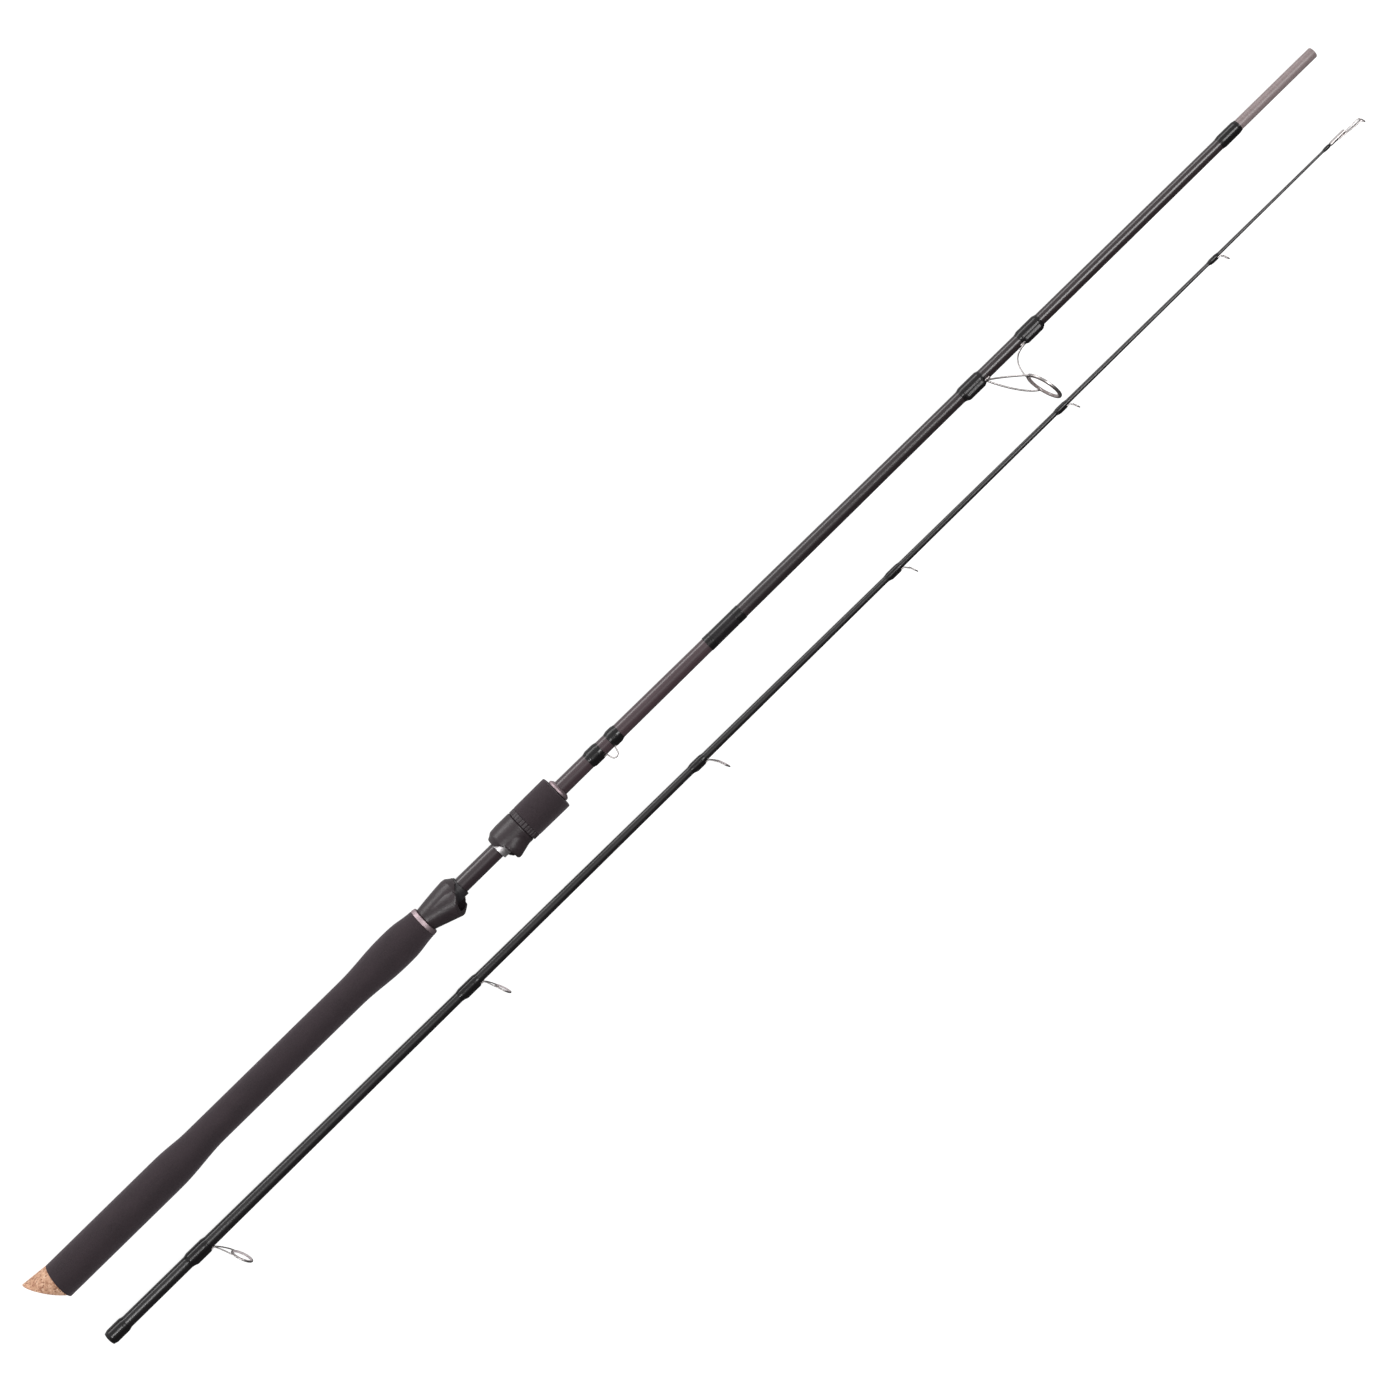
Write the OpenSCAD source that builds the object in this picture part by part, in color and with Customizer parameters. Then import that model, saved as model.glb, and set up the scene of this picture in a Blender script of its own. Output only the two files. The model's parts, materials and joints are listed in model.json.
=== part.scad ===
// Two-piece spinning rod, taken apart: the butt section and the tip section lie side by side.
// Each section is drawn with its own axis along +X and its guides on the -Y side, in millimetres
// from its rear end, and is then laid on the surface z = 0.

/* [Butt section] */
// Length of the butt section, from the cork to the end of the male ferrule
butt_length = 1243; // [1200:1:1300]
// Outer radius of the blank under the rear of the reel seat
blank_r = 6.1; // [5.9:0.05:6.2]
// Length of male ferrule outside the blank
ferrule_length = 73; // [60:1:80]
// Radius of the male ferrule
ferrule_r = 4.1; // [4:0.01:4.15]

/* [Grips] */
// Radius of the rear grip's swell
swell_r = 13.8; // [13:0.1:14]
// Radius of the rear grip's waist
waist_r = 11.4; // [11:0.1:12]
// How far the swell is set towards the reel
swell_offset = 0.8; // [0.4:0.1:1]
// Where the rear grip ends
rear_grip_end = 375.5; // [370:0.5:376]
// Radius of the foregrip
foregrip_r = 13.2; // [12.6:0.1:13.6]

/* [Reel seat] */
// Travel of the moving hood
hood_travel = 14; // [8:1:16]
// Radius over the thread crests of the seat barrel
thread_r = 8.4; // [8.2:0.05:8.4]
// Thread pitch
thread_pitch = 2; // [1.5:0.5:3]
// Radius of the saddle that the reel foot lies on
saddle_r = 7.6; // [7.4:0.1:7.6]
// Gap kept between parts that move past each other
slide_gap = 0.3; // [0.25:0.05:0.35]

/* [Stripper guide] */
// Where the ring stands along the butt section
stripper_x = 943.8; // [940:0.1:947]
// Height of the ring's centre above the blank's axis
stripper_h = 39.8; // [39:0.1:40.5]
// Outer radius of the ring
stripper_r = 14.1; // [13.5:0.1:14.1]
// Forward lean of the ring
stripper_lean = 15; // [12:1:18]

/* [Tip section] */
// Length of the tip section, without the tip-top
tip_length = 1204; // [1202:1:1206]
// Outer radius at its rear end
tip_rear_r = 4.85; // [4.8:0.05:5]
// Outer radius at the tip
tip_front_r = 0.9; // [0.85:0.05:0.95]
// Radius of the female ferrule's bore
socket_r = 4.15; // [4.12:0.01:4.2]
// Depth of the female ferrule's bore
socket_depth = 78; // [75:1:85]

/* [Layout] */
// Distance between the two sections' axes
section_gap = 54.5; // [54:0.5:70]
// How far the tip section's rear end lies ahead of the butt's
tip_start = 18; // [10:1:20]
// How far the butt section's hoods and guide are turned up from the surface
butt_roll = 28; // [24:1:32]
// How far the tip section's guides are turned down towards it
tip_roll = 12; // [8:1:14]

/* [Hidden] */
$fn = 96;
BIG = 60;
GLUE = 0.05;
guide_lean = 20;
side_gap = 0.4;

// Sub-parts of the butt section, then those of the tip section
GUIDE_PIECES = ["frame", "ring", "wrap"];

// Blank profiles: [place along the section, outer radius]
BUTT_TAPER = [[0, blank_r + 0.25], [400, blank_r], [550, 5.7], [726, 5.2], [838, 4.8],
              [butt_length - ferrule_length, 4.3]];
TIP_TAPER = [[0, tip_rear_r], [socket_depth, tip_rear_r - 0.15], [1180, tip_front_r],
             [tip_length, tip_front_r]];

// Single-foot guides 2 to 7 on the tip section:
// [wrap start, wrap end, ring place, ring height, ring outer radius]
GUIDES = [[76.5, 96, 104.7, 24, 8.45],
          [340, 359, 365.4, 17.7, 6.5],
          [565.5, 579, 585.3, 12.9, 5.35],
          [756.5, 770.5, 775, 8.7, 3.7],
          [921.5, 933.3, 936.5, 6.5, 3],
          [1071, 1081.5, 1084, 5.5, 2.8]];
TOP_X = tip_length + 15;
TOP_R = 2.8;
TOP_H = 3.2;

// Both sections lie on the surface: the butt on its cap and grips, the tip section on its
// largest ring and its tip-top
butt_axis_z = swell_r + 0.13;
ring_drop = GUIDES[0][3] * sin(tip_roll) + GUIDES[0][4];
top_drop = TOP_H * sin(tip_roll) + TOP_R;
tip_slope = asin((ring_drop - top_drop) / (TOP_X - GUIDES[0][2]));
tip_rear_z = ring_drop + GUIDES[0][2] * sin(tip_slope) + 0.01;
cap_end = 0.83;
half_length = (butt_length + cap_end) / 2;
back_y = 14.938;
front_y = section_gap + GUIDES[0][3] * cos(tip_roll) + GUIDES[0][4] * cos(guide_lean);
centre_y = (front_y - back_y) / 2;

male_start = butt_length - ferrule_length;
cap_face = 21;
cap_tilt = 5;
seat_start = 379;
hood_rear = 448.8;
hood_front = 472.2;
barrel_start = 462;
barrel_end = 506.9;
check_start = 507;
groove = [466, 469.1];
keeper_x = [538.5, 550.6, 556.8, 564.5];
keeper_foot = 6.5;
keeper_r = 0.5;

// Toe and heel of each foot of the stripper guide
STRIPPER_FEET = [[903, 923.4], [972, 954]];

EVA = [0.2, 0.18, 0.19];
PLASTIC = [0.27, 0.25, 0.27];
BLANK = [0.17, 0.12, 0.13];
METAL = [0.7, 0.64, 0.66];
STEEL = [0.5, 0.5, 0.52];
WRAP = [0.06, 0.05, 0.06];
CERAMIC = [0.72, 0.66, 0.66];

function smooth(t) = t * t * (3 - 2 * t);
function blend(a, b, t) = a + (b - a) * smooth(t);
function unit(v) = v / norm(v);
function reversed(v) = [for (i = [len(v) - 1:-1:0]) v[i]];
function butt_r(x) = lookup(x, BUTT_TAPER);
function tip_r(x) = lookup(x, TIP_TAPER);

// Points [radius, place] of a profile that eases from one radius to another
function eased(x0, r0, x1, r1, steps = 8) =
    [for (i = [0:steps]) [blend(r0, r1, i / steps), x0 + (x1 - x0) * i / steps]];

// Points of a quarter-round edge of radius e that ends at [r, x]: side -1 opens, +1 closes
function rounded(r, x, e, side) =
    [for (i = [0:4]) let (a = side < 0 ? 90 - 22.5 * i : 22.5 * i)
        [r - e + e * cos(a), x + side * e * (sin(a) - 1)]];

// A point of a cubic curve, and the whole curve
function cubic(p, t) = p[0] * pow(1 - t, 3) + 3 * p[1] * t * pow(1 - t, 2)
    + 3 * p[2] * pow(t, 2) * (1 - t) + p[3] * pow(t, 3);
function curve(p, steps = 12) = [for (i = [0:steps]) cubic(p, i / steps)];

// A solid turned about X from a closed outline of [radius, place] points
module turned(outline) {
    rotate([0, 90, 0]) rotate_extrude() polygon(outline);
}

module rod(x0, x1, r) {
    translate([x0, 0, 0]) rotate([0, 90, 0]) cylinder(h = x1 - x0, r = r);
}

// A disc across the section, drop below its axis, used in the hoods' hulls
module slice(x, r, drop) {
    translate([x, -drop, 0]) rotate([0, 90, 0]) cylinder(h = 0.1, r = r, $fn = 64);
}

// A bent strip or wire: an eight-sided section swept along a path, width w across the direction
// given by side and thickness t
module strip(path, w, t, side) {
    n = len(path);
    ring = [[w / 2, t / 4], [w / 4, t / 2], [-w / 4, t / 2], [-w / 2, t / 4],
            [-w / 2, -t / 4], [-w / 4, -t / 2], [w / 4, -t / 2], [w / 2, -t / 4]];
    points = [for (i = [0:n - 1])
        let (ahead = unit(path[min(i + 1, n - 1)] - path[max(i - 1, 0)]),
             up = unit(cross(ahead, side)),
             across = cross(up, ahead))
        for (p = ring) path[i] + across * p[0] + up * p[1]];
    sides = [for (i = [0:n - 2]) for (k = [0:7])
        let (a = 8 * i + k, b = 8 * i + (k + 1) % 8)
        each [[a, b, b + 8], [a, b + 8, a + 8]]];
    start = [[for (k = [7:-1:0]) k]];
    end = [[for (k = [0:7]) 8 * (n - 1) + k]];
    polyhedron(points = points, faces = [for (f = concat(sides, start, end)) reversed(f)]);
}

// ---- places of the two sections ----

module on_butt() {
    translate([-half_length, centre_y, butt_axis_z]) children();
}

// The line of the hoods, the keeper and the stripper guide, turned about the butt's axis
module on_line() {
    on_butt() rotate([-butt_roll, 0, 0]) children();
}

module on_tip() {
    translate([tip_start - half_length, centre_y - section_gap, tip_rear_z])
        rotate([0, tip_slope, 0]) rotate([tip_roll, 0, 0]) children();
}

// ---- shared pieces ----

// Thread wrap with its varnish: thin ends that ease up to the full thickness
module wrap(x0, x1, ra, rb, thick) {
    ease = min(3, (x1 - x0) / 3);
    outer = concat(eased(x0, ra + 0.12, x0 + ease, ra + thick, 5),
                   eased(x1 - ease, rb + thick, x1, rb + 0.12, 5));
    difference() {
        turned(concat([[0, x0]], outer, [[0, x1]]));
        turned([[0, x0 - 1], [ra + GLUE, x0 - 1], [rb + GLUE, x1 + 1], [0, x1 + 1]]);
    }
}

// The varnish over a guide foot, a slimmer lobe on the guide side
module foot_lobe(x0, x1, r, thick) {
    lobe = 0.62 * r + 0.3;
    out = r + thick - lobe;
    translate([0, -out, 0])
        turned(concat([[0, x0]], eased(x0, lobe * 0.6, x0 + 3, lobe, 5),
                      eased(x1 - 3, lobe, x1, lobe * 0.6, 5), [[0, x1]]));
}

// A guide foot: a curved plate on the blank that thins out to its toe
module foot(toe, heel, r, w, t, grow = 0) {
    x0 = min(toe, heel) - grow;
    x1 = max(toe, heel) + grow;
    r0 = r + 0.1 + (toe < heel ? 0.15 : t) + grow;
    r1 = r + 0.1 + (toe < heel ? t : 0.15) + grow;
    intersection() {
        difference() {
            turned([[0, x0], [r0, x0], [r1, x1], [0, x1]]);
            rod(x0 - 1, x1 + 1, r + 0.1 - grow);
        }
        translate([x0 - 1, -r - BIG, -w / 2 - grow])
            cube([x1 - x0 + 2, r * 0.2 + BIG, w + 2 * grow]);
    }
}

// Ceramic insert of a guide ring: round inside, flat where it sits in its frame
module insert(r_in, r_seat, w) {
    rotate([0, 90, 0]) rotate_extrude() intersection() {
        translate([r_in + w / 2, 0]) circle(d = w);
        translate([0, -w]) square([r_seat, 2 * w]);
    }
}

// The metal hoop that carries an insert
module hoop(r_seat, r_out, w) {
    bevel = min(0.3, w / 4);
    turned([[r_seat + GLUE, -w / 2], [r_out - bevel, -w / 2], [r_out, bevel - w / 2],
            [r_out, w / 2 - bevel], [r_out - bevel, w / 2], [r_seat + GLUE, w / 2]]);
}

function ring_wall(r) = r * 0.1 + 0.45;

module ring_insert(x, h, r, lean) {
    wall = ring_wall(r);
    translate([x, -h, 0]) rotate([0, 0, lean]) insert(r - 1.65 * wall, r - 0.75 * wall, wall * 1.2);
}

module ring_hoop(x, h, r, lean) {
    wall = ring_wall(r);
    translate([x, -h, 0]) rotate([0, 0, lean]) hoop(r - 0.75 * wall, r, wall * 0.95);
}

// Room for a ring's insert, cut out of the legs that meet its hoop
module seat_room(x, h, r, lean) {
    wall = ring_wall(r);
    room = r - 0.75 * wall + 2 * GLUE;
    translate([x, -h, 0]) rotate([0, 0, lean]) rod(-1.2 * wall, 1.2 * wall, room);
}

// Point on the middle of a leaning ring's band: around is measured from its foot side
function on_ring(x, h, r, lean, around) =
    [x - r * cos(around) * sin(lean), -h + r * cos(around) * cos(lean), r * sin(around)];

// ---- butt section ----

module butt_cap() {
    dome_r = 90;
    dome = [83.3, 51.1, 0];
    color([0.8, 0.63, 0.49]) on_butt() {
        intersection() {
            translate([cap_face, -swell_offset, 0]) rotate([0, 0, -cap_tilt])
                turned([[0, -26], [swell_r + 0.3, -26], [swell_r, -GLUE], [0, -GLUE]]);
            translate(dome) sphere(r = dome_r);
        }
        rod(cap_face - 4, cap_face + 20, 4.2);
    }
}

module rear_grip() {
    swell = concat([[0, 10], [swell_r, 10]],
                   eased(128, swell_r, 175, waist_r - swell_offset - 0.2, 12), [[0, 175]]);
    front_r = waist_r + 2.45;
    core = concat([[0, 15], [waist_r, 15]], eased(307, waist_r, 345, front_r, 8),
                  eased(357, front_r, rear_grip_end - 1.5, 11.6, 6),
                  rounded(11.4, rear_grip_end, 0.6, 1), [[0, rear_grip_end]]);
    color(EVA) on_butt() difference() {
        union() {
            translate([0, -swell_offset, 0]) turned(swell);
            turned(core);
        }
        translate([cap_face, -swell_offset, 0]) rotate([0, 0, -cap_tilt])
            translate([-BIG, -BIG / 2, -BIG / 2]) cube(BIG);
        rod(cap_face - 5, cap_face + 6, 4.25);
        turned([[0, cap_face + 4], [butt_r(25) + GLUE, cap_face + 4],
                [butt_r(rear_grip_end) + GLUE, rear_grip_end + 1], [0, rear_grip_end + 1]]);
    }
}

module rear_trim_ring() {
    color(METAL) on_butt() difference() {
        turned(concat([[0, rear_grip_end + GLUE]], rounded(11.6, rear_grip_end + GLUE, 0.5, -1),
                      rounded(11.2, seat_start, 0.5, 1), [[0, seat_start]]));
        rod(rear_grip_end - 1, seat_start + 1, butt_r(377) + GLUE);
    }
}

module butt_blank() {
    start = cap_face + 5;
    inner = 3.3;
    color(BLANK) on_butt() difference() {
        turned(concat([[0, start], [butt_r(start), start]],
                      [for (i = [1:len(BUTT_TAPER) - 1]) [BUTT_TAPER[i][1], BUTT_TAPER[i][0]]],
                      [[0, male_start]]));
        turned([[0, start - 1], [4.3, start - 1], [4.3, 200], [inner, 1040], [inner, male_start + 1],
                [0, male_start + 1]]);
    }
}

// A ground spigot: a slimmer tail is glued into the blank
module male_ferrule() {
    spigot_start = male_start - 62;
    color([0.62, 0.56, 0.56]) on_butt() difference() {
        union() {
            rod(spigot_start, male_start + 1, 3.25);
            rod(male_start + GLUE, butt_length - 0.8, ferrule_r);
            turned([[0, butt_length - 0.8], [ferrule_r, butt_length - 0.8],
                    [ferrule_r - 0.5, butt_length], [0, butt_length]]);
        }
        rod(spigot_start - 1, butt_length - 3, 2.2);
    }
}

module ferrule_wrap() {
    color(WRAP) on_butt()
        wrap(male_start - 19, male_start - 0.2, butt_r(male_start - 19), butt_r(male_start), 0.6);
}

// Fixed hood: a turned body with an arched pocket for the reel foot on the guide side and a
// mouth cut on the slant
module rear_hood() {
    body = [[0, seat_start + GLUE], [9.2, seat_start + GLUE], [10.2, 387], [11.2, 397], [11.8, 405],
            [11.3, 408], [8.8, 411.2], [saddle_r + 0.6, 412.6], [0, 412.6]];
    color(PLASTIC) on_line() difference() {
        union() {
            turned(body);
            hull() {
                slice(seat_start + 1, 9.1, 0.2);
                slice(401.5, 11.7, 5.6);
                slice(407, 11, 5);
            }
        }
        hull() {
            slice(388, 7.8, 3.6);
            slice(396, 9.2, 4.4);
            slice(413.5, 9.4, 4.6);
        }
        translate([411.6, -4, 0]) rotate([0, 0, -45])
            translate([0, -BIG, -BIG / 2]) cube([BIG, BIG, BIG]);
        rod(seat_start - 1, 414, butt_r(400) + GLUE);
        rod(385, 414, saddle_r + GLUE);
    }
}

module rear_hood_saddle() {
    color([0.22, 0.22, 0.24]) on_line() difference() {
        rod(385.1, 413.2, saddle_r);
        rod(385, 414, butt_r(400) + GLUE);
    }
}

// Threaded sleeve on the blank, with a keyway that stops the moving hood from turning
module seat_barrel() {
    turns = floor((barrel_end - barrel_start - 4) / thread_pitch);
    crest = [for (i = [0:turns - 1]) for (p = [[0, 0], [0.55, 0.3], [0.55, 0.5], [0, 0.8]])
        [thread_r - 0.55 + p[0], barrel_start + 2 + (i + p[1]) * thread_pitch]];
    color([0.22, 0.22, 0.24]) on_line() difference() {
        turned(concat([[0, barrel_start], [thread_r - 0.55, barrel_start]], crest,
                      [[thread_r - 0.55, barrel_end], [0, barrel_end]]));
        rod(barrel_start - 1, barrel_end + 1, butt_r(barrel_start) + GLUE);
        translate([barrel_start - 1, 7.2, -1.3]) cube([barrel_end - barrel_start + 2, 3, 2.6]);
    }
}

module moving_hood() {
    body = concat([[0, hood_rear]], rounded(9.6, hood_rear, 0.8, -1), eased(450, 10, 454, 12.2, 5),
                  [[12.6, 459], [12.6, hood_front - 0.6], [12, hood_front], [0, hood_front]]);
    mouth = [449, -2, 0];
    mouth_angle = 31;
    color(PLASTIC) on_line() {
        difference() {
            union() {
                translate([0, 0.4, 0]) turned(body);
                hull() {
                    slice(456.2, 10.4, 4.9);
                    slice(458.2, 10.4, 4.9);
                    slice(470, 11.2, 0.5);
                }
                hull() {
                    slice(449.5, 7.9, 2.9);
                    slice(456.2, 10.4, 4.9);
                }
            }
            hull() {
                slice(446, 9.9, 5.2);
                slice(461.5, 9, 4.6);
            }
            translate(mouth) rotate([0, 0, mouth_angle])
                translate([-BIG, -BIG, -BIG / 2]) cube([BIG, BIG, BIG]);
            rod(hood_rear - 3, barrel_start - slide_gap, saddle_r + GLUE);
            rod(barrel_start - slide_gap - 0.01, hood_front + 1, thread_r + slide_gap);
            rod(groove[0], groove[1], 10.5);
            rod(groove[1] - 0.1, hood_front + 1, 9.7);
        }
        // the key, and its tongue that reaches forward in the keyway under the nut
        translate([barrel_start, 7.5, -1]) cube([groove[0] - barrel_start, 1.7, 2]);
        translate([barrel_start, 7.5, -1]) cube([groove[0] - barrel_start + hood_travel, 0.7, 2]);
    }
}

module moving_hood_saddle() {
    color([0.8, 0.77, 0.78]) on_line() difference() {
        rod(hood_rear, barrel_start - slide_gap - 0.1, saddle_r);
        rod(hood_rear - 1, barrel_start, butt_r(hood_rear) + slide_gap);
    }
}

// Nut and foregrip sleeve in one: its collar turns in the moving hood's groove
module lock_nut() {
    flange = [hood_front + slide_gap, 477];
    ribs = 28;
    color([0.42, 0.39, 0.41]) on_butt() difference() {
        union() {
            rod(groove[0] + slide_gap, groove[1] - slide_gap, 10.2);
            rod(groove[0] + slide_gap, flange[1], 9.4);
            turned([[0, flange[0]], [12.4, flange[0]], [12.9, flange[0] + 0.5],
                    [12.9, flange[1] - 0.4], [12.5, flange[1]], [0, flange[1]]]);
            rod(flange[1] - 1, check_start - side_gap - 0.4, 9.8);
        }
        rod(groove[0], check_start, thread_r + 0.08);
        for (i = [0:ribs - 1])
            rotate([i * 360 / ribs, 0, 0]) translate([flange[0] - 1, 13.3, -0.35])
                translate([0, -0.8, 0]) cube([flange[1] - flange[0] + 2, 2, 0.7]);
    }
}

module foregrip() {
    front = check_start - side_gap;
    color(EVA) on_butt() difference() {
        turned(concat([[0, 477 + GLUE]], rounded(foregrip_r - 0.2, 477 + GLUE, 0.6, -1),
                      rounded(foregrip_r, front, 1.2, 1), [[0, front]]));
        rod(470, check_start + 1, 9.8 + GLUE);
    }
}

module winding_check() {
    color(METAL) on_butt() difference() {
        turned([[0, check_start], [8.7, check_start], [8.9, check_start + 0.6],
                [8.6, check_start + 1.8], [7.2, check_start + 2.9], [6.4, check_start + 3.2],
                [0, check_start + 3.2]]);
        rod(check_start - 1, check_start + 4, butt_r(check_start) + GLUE);
    }
}

// Hook keeper: one bent wire, its two feet under thread wraps
module keeper_loop() {
    top = 13.2;
    mid = (keeper_x[1] + keeper_x[2]) / 2;
    rise = curve([[keeper_x[1] - 0.8, -keeper_foot, 0], [keeper_x[1], -keeper_foot - 2.4, 0],
                  [keeper_x[1] - 0.3, -top, 0], [mid, -top, 0]], 10);
    fall = [for (p = rise) [2 * mid - p[0], p[1], 0]];
    path = concat([[keeper_x[0], -keeper_foot, 0]], rise,
                  [for (i = [len(fall) - 2:-1:0]) fall[i]], [[keeper_x[3], -keeper_foot, 0]]);
    color(STEEL) on_line() strip(path, 2 * keeper_r, 2 * keeper_r, [0, 0, 1]);
}

module keeper_wrap(x0, x1) {
    color(WRAP) on_line() difference() {
        union() {
            wrap(x0, x1, butt_r(x0), butt_r(x1), 0.75);
            difference() {
                translate([0, -keeper_foot, 0])
                    turned(concat([[0, x0 + 0.2]], eased(x0 + 0.2, 0.3, x0 + 2.5, 1.05, 4),
                                  eased(x1 - 2.5, 1.05, x1 - 0.2, 0.3, 4), [[0, x1 - 0.2]]));
                rod(x0 - 1, x1 + 1, butt_r(x0) + 0.1);
            }
        }
        translate([0, -keeper_foot, 0]) rod(keeper_x[0] - 0.1, keeper_x[3] + 0.1, keeper_r + 2 * GLUE);
    }
}

module keeper_wrap_rear() {
    keeper_wrap(537, 549.5);
}

module keeper_wrap_front() {
    keeper_wrap(557.2, 567);
}

module band(x0, x1, thick, tint) {
    color(tint) on_butt() difference() {
        turned([[0, x0], [butt_r(x0) + thick - 0.1, x0], [butt_r(x0) + thick, x0 + 0.2],
                [butt_r(x1) + thick, x1 - 0.2], [butt_r(x1) + thick - 0.1, x1], [0, x1]]);
        turned([[0, x0 - 1], [butt_r(x0) + GLUE, x0 - 1], [butt_r(x1) + GLUE, x1 + 1],
                [0, x1 + 1]]);
    }
}

module label_trim_rear() {
    band(653, 658.6, 0.35, WRAP);
}

module label_panel() {
    band(658.7, 680.3, 0.3, [0.1, 0.09, 0.1]);
}

module label_trim_front() {
    band(680.4, 686.5, 0.35, WRAP);
}

// Double-foot stripper guide: two side legs from the rear foot, one leg from the front foot
module stripper_feet(grow = 0) {
    for (f = STRIPPER_FEET)
        foot(f[0], f[1], butt_r((f[0] + f[1]) / 2), 3.4, 1.1, grow);
}

module stripper_frame() {
    x = stripper_x;
    band_r = stripper_r - 0.37 * ring_wall(stripper_r);
    rear = STRIPPER_FEET[0][1];
    front = STRIPPER_FEET[1][1];
    low = on_ring(x, stripper_h, band_r, stripper_lean, 0);
    color(STEEL) on_line() {
        stripper_feet();
        difference() {
            union() {
                for (s = [-1, 1]) {
                    hip = on_ring(x, stripper_h, band_r, stripper_lean, s * 62);
                    strip(curve([[rear - 3, -5.4, s * 0.9], [rear + 3, -15, s * 9],
                                 [rear + 13, -29, s * 15], hip], 16), 1.4, 1.2, [0, 0, 1]);
                }
                strip(curve([[front + 3, -5.5, 0], [front - 6, -6.2, 0], [front - 12.5, -10, 0],
                             low], 16), 1.7, 1, [0, 0, 1]);
            }
            seat_room(x, stripper_h, stripper_r, stripper_lean);
        }
        ring_hoop(x, stripper_h, stripper_r, stripper_lean);
    }
}

module stripper_ring() {
    color(CERAMIC) on_line() ring_insert(stripper_x, stripper_h, stripper_r, stripper_lean);
}

module stripper_wrap(x0, x1) {
    r = butt_r((x0 + x1) / 2);
    color(WRAP) on_line() difference() {
        union() {
            wrap(x0, x1, butt_r(x0), butt_r(x1), 0.9);
            difference() {
                foot_lobe(x0 + 1, x1 - 0.3, r, 2.4);
                rod(x0 - 1, x1 + 1, r + 0.15);
            }
        }
        stripper_feet(0.06);
    }
}

module stripper_wrap_rear() {
    stripper_wrap(899.5, 920.4);
}

module stripper_wrap_front() {
    stripper_wrap(956, 976.5);
}

// ---- tip section ----

module tip_blank() {
    outer = concat([[0, 0]], [for (p = TIP_TAPER) [p[1], p[0]]], [[0, tip_length]]);
    color(BLANK) on_tip() difference() {
        turned(outer);
        rod(-1, socket_depth, socket_r);
        turned([[0, socket_depth - 1], [3, socket_depth - 1], [1.4, 640], [0, 640]]);
    }
}

module socket_wrap() {
    color(WRAP) on_tip() wrap(0.1, 16.8, tip_r(0), tip_r(17), 0.85);
}

// The foot's heel stands under the ring, and two legs rise from it to the ring's sides
module guide_foot(g, grow = 0) {
    foot(g[0] + 2.5, g[1] + 1, tip_r((g[0] + g[1]) / 2), min(3, 0.45 * g[4] + 0.9),
         0.55 + 0.04 * g[4], grow);
}

module guide_frame(i) {
    g = GUIDES[i - 2];
    x = g[2];
    h = g[3];
    wall = ring_wall(g[4]);
    band_r = g[4] - 0.37 * wall;
    foot_h = tip_r(g[1]) + 0.35;
    color(STEEL) on_tip() {
        guide_foot(g);
        difference() {
            for (s = [-1, 1]) {
                hip = on_ring(x, h, band_r, guide_lean, s * 50);
                strip(curve([[g[1] + 0.1, -foot_h - 0.1, s * 0.08 * g[4]],
                             [g[1] + 1.6, -foot_h - 0.4, s * 0.7],
                             [x - 2.5, -h + 0.95 * g[4], s * band_r * 0.86], hip], 9),
                      0.75 + 0.07 * g[4], 0.55 + 0.04 * g[4], [0, 0, 1]);
            }
            seat_room(x, h, g[4], guide_lean);
        }
        ring_hoop(x, h, g[4], guide_lean);
    }
}

module guide_ring(i) {
    g = GUIDES[i - 2];
    color(CERAMIC) on_tip() ring_insert(g[2], g[3], g[4], guide_lean);
}

module guide_wrap(i) {
    g = GUIDES[i - 2];
    r = tip_r((g[0] + g[1]) / 2);
    thick = 0.45 + 0.03 * g[4];
    color(WRAP) on_tip() difference() {
        union() {
            wrap(g[0], g[1], tip_r(g[0]), tip_r(g[1]), thick);
            difference() {
                foot_lobe(g[0] + 1, g[1] - 0.2, r, thick + 0.55 + 0.03 * g[4]);
                rod(g[0] - 1, g[1] + 1, r + 0.12);
            }
        }
        guide_foot(g, 0.06);
    }
}

// Tip-top: a tube over the tip with two wires that hold the ring
module tip_top_frame() {
    tube = [tip_length - 13, tip_length + 1];
    band_r = TOP_R - 0.4 * ring_wall(TOP_R);
    color(STEEL) on_tip() {
        difference() {
            turned([[0, tube[0]], [1.25, tube[0]], [1.45, tube[0] + 0.4], [1.45, tube[1] - 0.4],
                    [1.1, tube[1]], [0, tube[1]]]);
            rod(tube[0] - 1, tip_length + 0.1, tip_front_r + GLUE);
        }
        difference() {
            union() {
                for (s = [-1, 1]) {
                    hip = on_ring(TOP_X, TOP_H, band_r, guide_lean, s * 80);
                    strip(curve([[tube[1] - 8, -1.5, s * 0.5], [tube[1] + 2, -1.9, s * 0.8],
                                 [TOP_X - 7, -TOP_H + 0.4, s * band_r], hip], 9), 0.8, 0.8, [0, 0, 1]);
                }
                strip(curve([[tube[1] - 0.5, -0.9, 0], [tube[1] + 4, -0.7, 0], [TOP_X - 4, -0.5, 0],
                             on_ring(TOP_X, TOP_H, band_r, guide_lean, 0)], 6), 0.9, 0.7, [0, 0, 1]);
            }
            seat_room(TOP_X, TOP_H, TOP_R, guide_lean);
        }
        ring_hoop(TOP_X, TOP_H, TOP_R, guide_lean);
    }
}

module tip_top_ring() {
    color(CERAMIC) on_tip() ring_insert(TOP_X, TOP_H, TOP_R, guide_lean);
}

module tip_top_wrap() {
    color(WRAP) on_tip() wrap(tip_length - 20, tip_length - 13.1, tip_front_r, tip_front_r, 0.5);
}

// ---- what is drawn ----

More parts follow.
